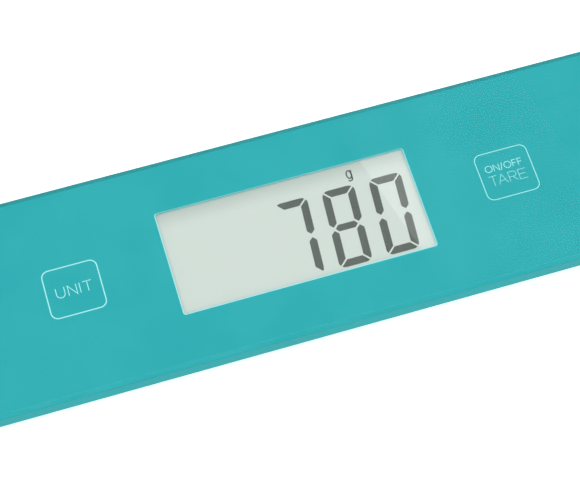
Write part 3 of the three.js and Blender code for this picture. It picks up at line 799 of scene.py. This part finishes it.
def make_feet(cup_look, pad_look):
    """Each foot's cup and pad, turned finely."""
    for end, side in CORNERS:
        name = f"{end}_{side}"
        cup_low, cup_high = span("foot_cup_" + name)
        pad_low, pad_high = span("foot_pad_" + name)
        centre = ((pad_low.x + pad_high.x) / 2, (pad_low.y + pad_high.y) / 2)
        cup_r = (cup_high.x - cup_low.x) / 2
        pad_r = (pad_high.x - pad_low.x) / 2
        kinds = (
            ("cup", cup_profile(cup_r, cup_high.z, pad_r, pad_high.z), cup_look),
            ("pad", pad_profile(pad_r, pad_high.z), pad_look),
        )
        for kind, profile, look in kinds:
            piece = lathe(f"foot_{kind}_turned_{name}", profile, LATHE_STEPS["foot"], centre, [look])
            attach(piece, "root")
            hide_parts(f"foot_{kind}_{name}")


def make_cell(look):
    """The coin cell, with its crimped edge and a plus sign raised in its lower face."""
    low, high = span("battery_cell")
    centre = ((low.x + high.x) / 2, (low.y + high.y) / 2)
    r = (high.x - low.x) / 2
    face = [(1.4, 0), (1.25, 0.04), (1.1, 0.18), (0.7, 0.2), (0.25, 0.28), (0, 0.55)]
    crimp = [(0, 0.45), (0.12, 0.15), (0.4, 0.02), (0.9, 0), (1.2, 0.12), (1.5, 0.02)]
    profile = [(0, low.z)] + [(r - inset, low.z + rise) for inset, rise in face]
    profile += [(r - inset, high.z - drop) for inset, drop in crimp] + [(0, high.z)]
    piece = lathe("coin_cell_turned", profile, LATHE_STEPS["cell"], centre, [look])
    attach(piece, "root")
    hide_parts("battery_cell")
    bm = bmesh.new()
    length, stroke = CELL_PLUS["length"], CELL_PLUS["stroke"]
    for wide, deep in ((length, stroke), (stroke, length)):
        outline = rounded_outline(wide, deep, CELL_PLUS["r"], 4, *centre)
        add_prism(bm, outline, low.z - CELL_PLUS["proud"], low.z + CELL_PLUS["sunk"])
    plus = finish_mesh(bm, "coin_cell_plus", [look])
    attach(plus, "root")


def dress_cad(looks):
    """A node material on every CAD node that is still shown."""
    for part in frame["record"]["subparts"]:
        look = looks[part["material_slot"]]
        for place in CAD_NODES[part["node"]].material_slots:
            place.material = look


# ---------------------------------------------------------------- studio


def make_floor():
    bm = bmesh.new()
    rim = arc(0, 0, FLOOR["radius"], FLOOR["radius"], 0, 355, 71)
    bm.faces.new([bm.verts.new((x, y, -FLOOR["drop"])) for x, y in rim])
    finish_mesh(bm, "floor", [studio_floor()])


def make_world():
    world = bpy.data.worlds.new("studio")
    bpy.context.scene.world = world
    world.use_nodes = True
    nodes, links = world.node_tree.nodes, world.node_tree.links
    seen = nodes.new("ShaderNodeLightPath").outputs["Is Camera Ray"]
    strength = nodes.new("ShaderNodeMapRange")
    strength.inputs["To Min"].default_value = WORLD_LIGHT
    strength.inputs["To Max"].default_value = BACKDROP_LIGHT
    links.new(seen, strength.inputs["Value"])
    nodes["Background"].inputs["Color"].default_value = (1.0, 1.0, 1.0, 1.0)
    links.new(strength.outputs["Result"], nodes["Background"].inputs["Strength"])


def make_strip_light():
    """A long narrow softbox behind and above on the right, which the plate and the display mirror faintly."""
    along = Vector(STRIP["along"]).normalized()
    centre = Vector(STRIP["centre"])
    data = bpy.data.lights.new("strip_light", "AREA")
    data.shape = "RECTANGLE"
    data.size = STRIP["width"]
    data.size_y = STRIP["length"]
    data.energy = STRIP["radiance"] * math.pi * STRIP["width"] * STRIP["length"]
    lamp = bpy.data.objects.new("strip_light", data)
    bpy.context.scene.collection.objects.link(lamp)
    lamp.location = centre
    back = (centre - centre.dot(along) * along).normalized()
    across = along.cross(back)
    lamp.rotation_mode = "QUATERNION"
    lamp.rotation_quaternion = Matrix((across, along, back)).transposed().to_quaternion()


def make_camera():
    azimuth, elevation = math.radians(CAMERA["azimuth"]), math.radians(CAMERA["elevation"])
    level = math.cos(elevation)
    back = Vector((math.sin(azimuth) * level, -math.cos(azimuth) * level, math.sin(elevation)))
    data = bpy.data.cameras.new("camera")
    data.lens = CAMERA["lens"]
    data.sensor_width = CAMERA["sensor"]
    camera = bpy.data.objects.new("camera", data)
    bpy.context.scene.collection.objects.link(camera)
    camera.location = (Vector(CAMERA["aim"]) + back * CAMERA["distance"]) * MM
    camera.rotation_mode = "QUATERNION"
    facing = (-back).to_track_quat("-Z", "Y")
    camera.rotation_quaternion = facing @ Quaternion((0, 0, 1), math.radians(CAMERA["roll"]))
    data.clip_start, data.clip_end = CAMERA["clip"]
    bpy.context.scene.camera = camera


def make_studio():
    scene = bpy.context.scene
    scene.view_settings.view_transform = "Standard"
    scene.view_settings.look = "None"
    make_floor()
    make_world()
    make_strip_light()
    make_camera()


PLATFORM_GLASS = platform_glass()
PRINTED_FILM = printed_film()
PALE_INK = pale_ink()
LCD_PANEL = lcd_panel()
TEAL_PLASTIC = moulded_teal()
CUP_PLASTIC = plastic("foot_plastic", (0.68, 0.71, 0.69))
GREY_RUBBER = rubber("foot_rubber", (0.26, 0.29, 0.28))
BRIGHT_STEEL = steel("plated_steel", (0.6, 0.61, 0.62))
LOOKS = {
    "platform_glass": PLATFORM_GLASS,
    "backing_print": PRINTED_FILM,
    "foam_tape": foam(),
    "body_plastic": TEAL_PLASTIC,
    "lcd_glass": LCD_PANEL,
    "lcd_polarizer": polarizer_film(),
    "lcd_reflector": LCD_PANEL,
    "white_plastic": plastic("white_plastic", (0.8, 0.81, 0.79)),
    "connector_rubber": zebra(),
    "circuit_board": circuit_board(),
    "black_epoxy": epoxy(),
    "plated_steel": BRIGHT_STEEL,
    "gauge_potting": rubber("gauge_potting", (0.82, 0.81, 0.77)),
    "white_insulation": insulation("white_insulation", (0.76, 0.76, 0.73)),
    "red_insulation": insulation("red_insulation", (0.42, 0.02, 0.015)),
    "black_insulation": insulation("black_insulation", (0.012, 0.012, 0.012)),
    "foot_plastic": CUP_PLASTIC,
    "foot_rubber": GREY_RUBBER,
}

dress_cad(LOOKS)
make_glass(PLATFORM_GLASS, PRINTED_FILM, edge_lacquer())
make_key_prints(PALE_INK)
make_window_line(PALE_INK)
make_edge_seal(TEAL_PLASTIC)
make_segments()
make_feet(CUP_PLASTIC, GREY_RUBBER)
make_cell(BRIGHT_STEEL)
make_moulding("bottom_shell", "root", TEAL_PLASTIC)
make_moulding("battery_door", "battery_door", TEAL_PLASTIC)
make_studio()
